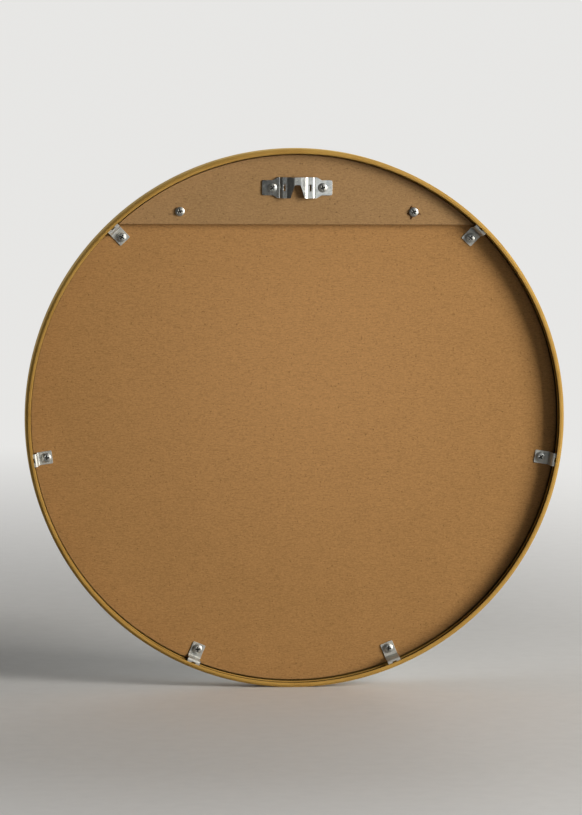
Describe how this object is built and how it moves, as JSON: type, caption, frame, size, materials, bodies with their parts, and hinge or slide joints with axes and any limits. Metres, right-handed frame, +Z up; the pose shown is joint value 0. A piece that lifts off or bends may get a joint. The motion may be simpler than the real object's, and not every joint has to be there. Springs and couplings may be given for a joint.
{
  "type": "round wall mirror",
  "caption": "Round wall mirror in a thin gold-coloured ring, with a recessed fibreboard back held by swivelling offset clips and a notched hanger plate on a segment-shaped board.",
  "frame": {"origin": "on the ring's axis, halfway through the ring's depth", "axes": "+Z up as the mirror hangs, the glass faces -Y, +Y points into the wall, +X to the left as seen from behind"},
  "size_m": [0.5, 0.025, 0.5],
  "materials": {
    "gold_profile": "gold-coloured anodised, fine brushed satin",
    "mirror_glass": "clear float glass, silvered behind, polished",
    "fibreboard": "raw sanded fibreboard, matt",
    "zinc_steel": "bright zinc plated, stamped"
  },
  "bodies": {
    "mirror": {"frame_ring": "gold_profile", "mirror_glass": "mirror_glass", "back_panel": "fibreboard", "hanger_board": "fibreboard", "hanger_plate": "zinc_steel", "board_screw_left": "zinc_steel", "board_screw_right": "zinc_steel", "plate_screw_left": "zinc_steel", "plate_screw_right": "zinc_steel", "clip_screw_top_left": "zinc_steel", "clip_screw_left": "zinc_steel", "clip_screw_bottom_left": "zinc_steel", "clip_screw_bottom_right": "zinc_steel", "clip_screw_right": "zinc_steel", "clip_screw_top_right": "zinc_steel"},
    "clip_top_left": {"clip_top_left": "zinc_steel"},
    "clip_left": {"clip_left": "zinc_steel"},
    "clip_bottom_left": {"clip_bottom_left": "zinc_steel"},
    "clip_bottom_right": {"clip_bottom_right": "zinc_steel"},
    "clip_right": {"clip_right": "zinc_steel"},
    "clip_top_right": {"clip_top_right": "zinc_steel"}
  },
  "joints": [
    {"name": "clip_top_left_swivel", "type": "hinge", "parent": "mirror", "child": "clip_top_left", "pos_m": [0.16186, -0.002, 0.1676], "axis": [0, 1, 0], "range_deg": [-90, 90]},
    {"name": "clip_left_swivel", "type": "hinge", "parent": "mirror", "child": "clip_left", "pos_m": [0.23013, -0.002, -0.03645], "axis": [0, 1, 0], "range_deg": [-90, 90]},
    {"name": "clip_bottom_left_swivel", "type": "hinge", "parent": "mirror", "child": "clip_bottom_left", "pos_m": [0.08917, -0.002, -0.21526], "axis": [0, 1, 0], "range_deg": [-90, 90]},
    {"name": "clip_bottom_right_swivel", "type": "hinge", "parent": "mirror", "child": "clip_bottom_right", "pos_m": [-0.08917, -0.002, -0.21526], "axis": [0, 1, 0], "range_deg": [-90, 90]},
    {"name": "clip_right_swivel", "type": "hinge", "parent": "mirror", "child": "clip_right", "pos_m": [-0.23013, -0.002, -0.03645], "axis": [0, 1, 0], "range_deg": [-90, 90]},
    {"name": "clip_top_right_swivel", "type": "hinge", "parent": "mirror", "child": "clip_top_right", "pos_m": [-0.16186, -0.002, 0.1676], "axis": [0, 1, 0], "range_deg": [-90, 90]}
  ]
}
